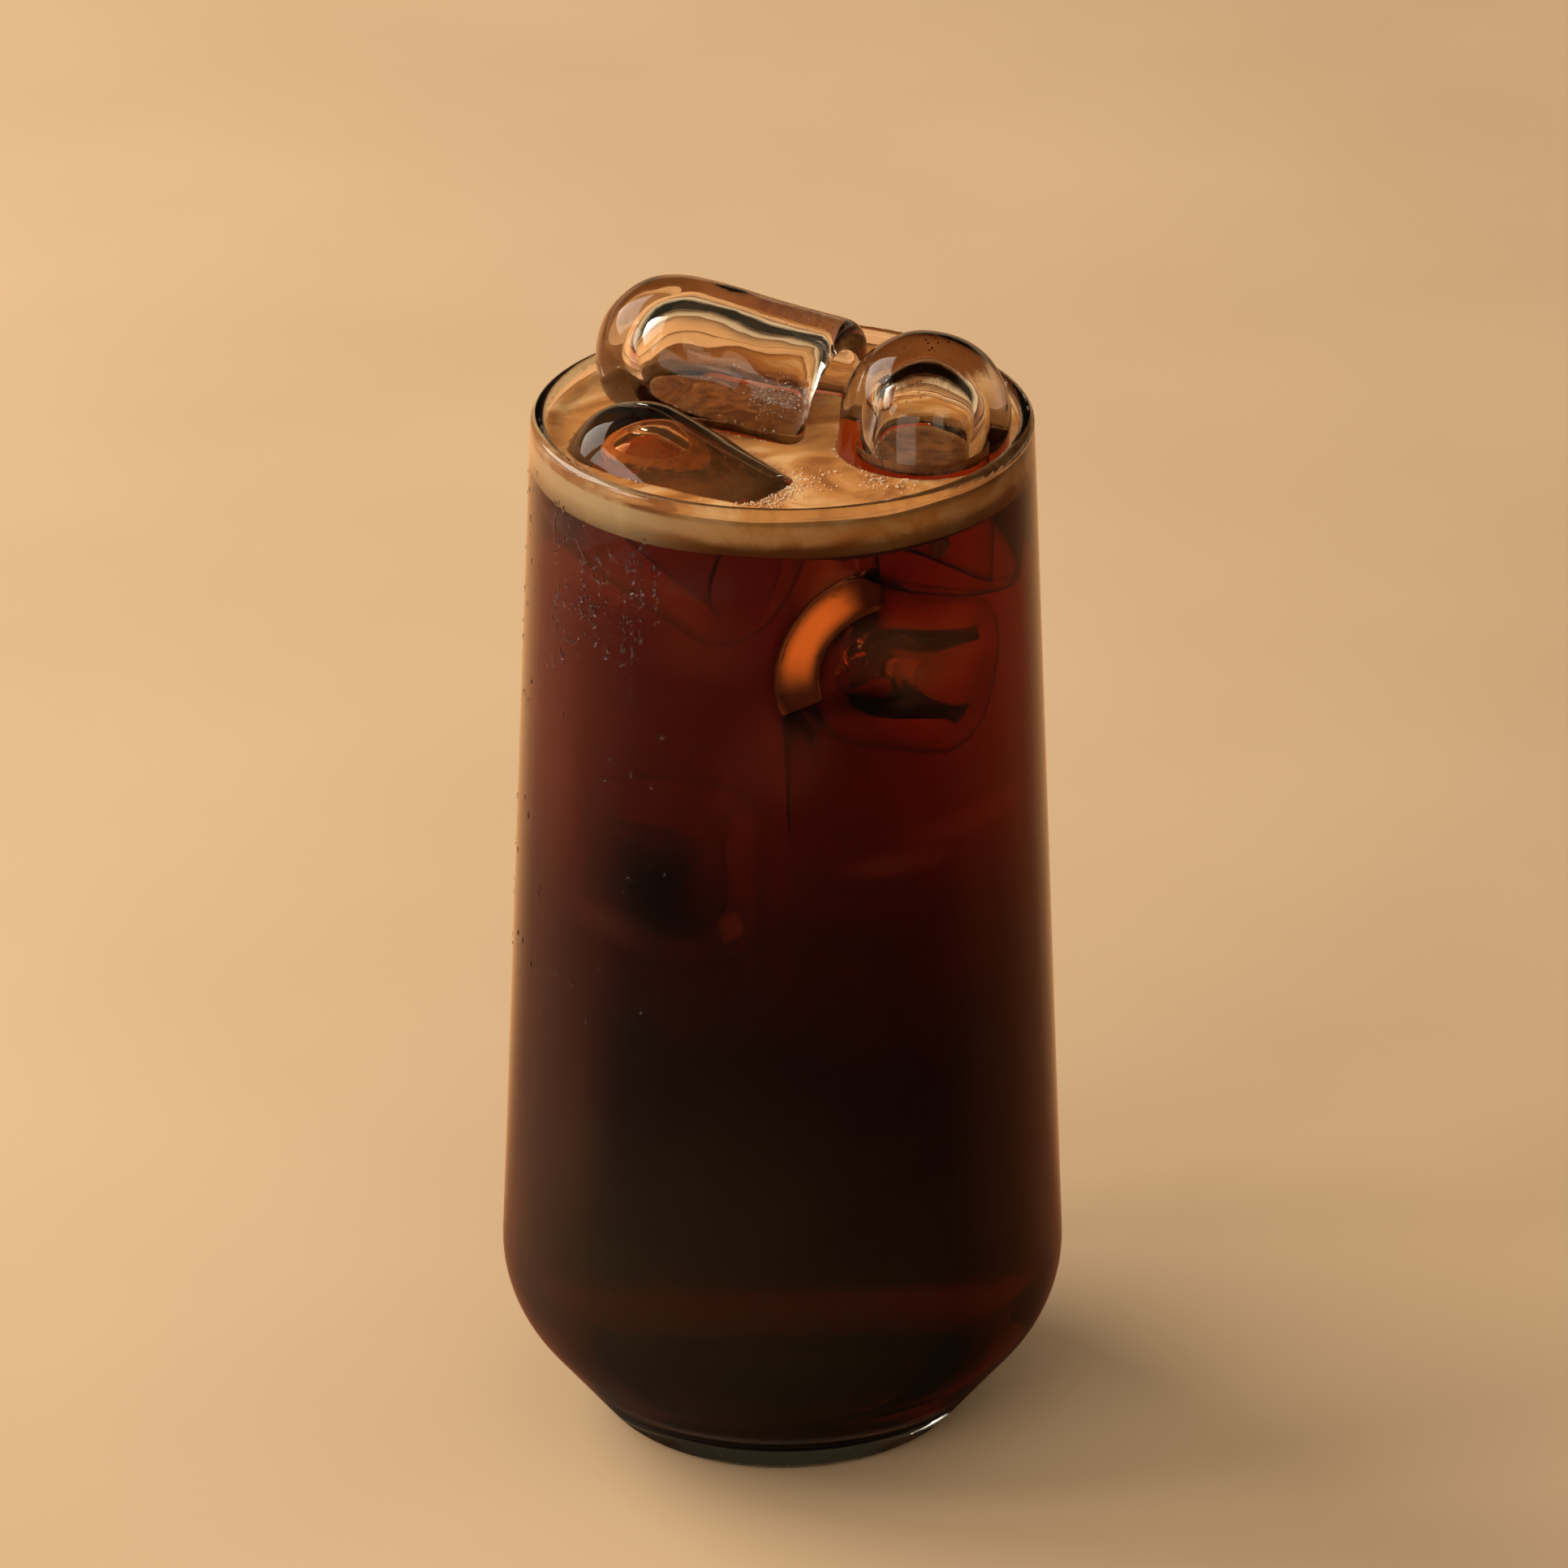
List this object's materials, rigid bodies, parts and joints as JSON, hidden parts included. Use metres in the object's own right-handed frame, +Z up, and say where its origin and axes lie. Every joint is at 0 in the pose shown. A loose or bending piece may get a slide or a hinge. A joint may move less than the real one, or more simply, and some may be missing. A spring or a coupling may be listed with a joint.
{
  "type": "iced coffee",
  "caption": "Iced coffee with a crema layer and thimble-shaped ice standing out of it, in a tall clear tumbler that is widest near its rounded shoulder.",
  "frame": {"origin": "centre of the foot's underside, on the surface that the glass stands on", "axes": "+Z up along the tumbler's axis, -Y towards the side with the low piece of ice in front, +X to its right"},
  "size_m": [0.0762, 0.0762, 0.1564],
  "materials": {
    "glass": "clear, polished",
    "coffee": "dark liquid",
    "crema": "fine foam",
    "ice": "clear, wet"
  },
  "bodies": {
    "root": {"glass": "glass", "coffee": "coffee", "crema": "crema", "ice_back": "ice", "ice_front": "ice", "ice_right": "ice"}
  },
  "joints": []
}
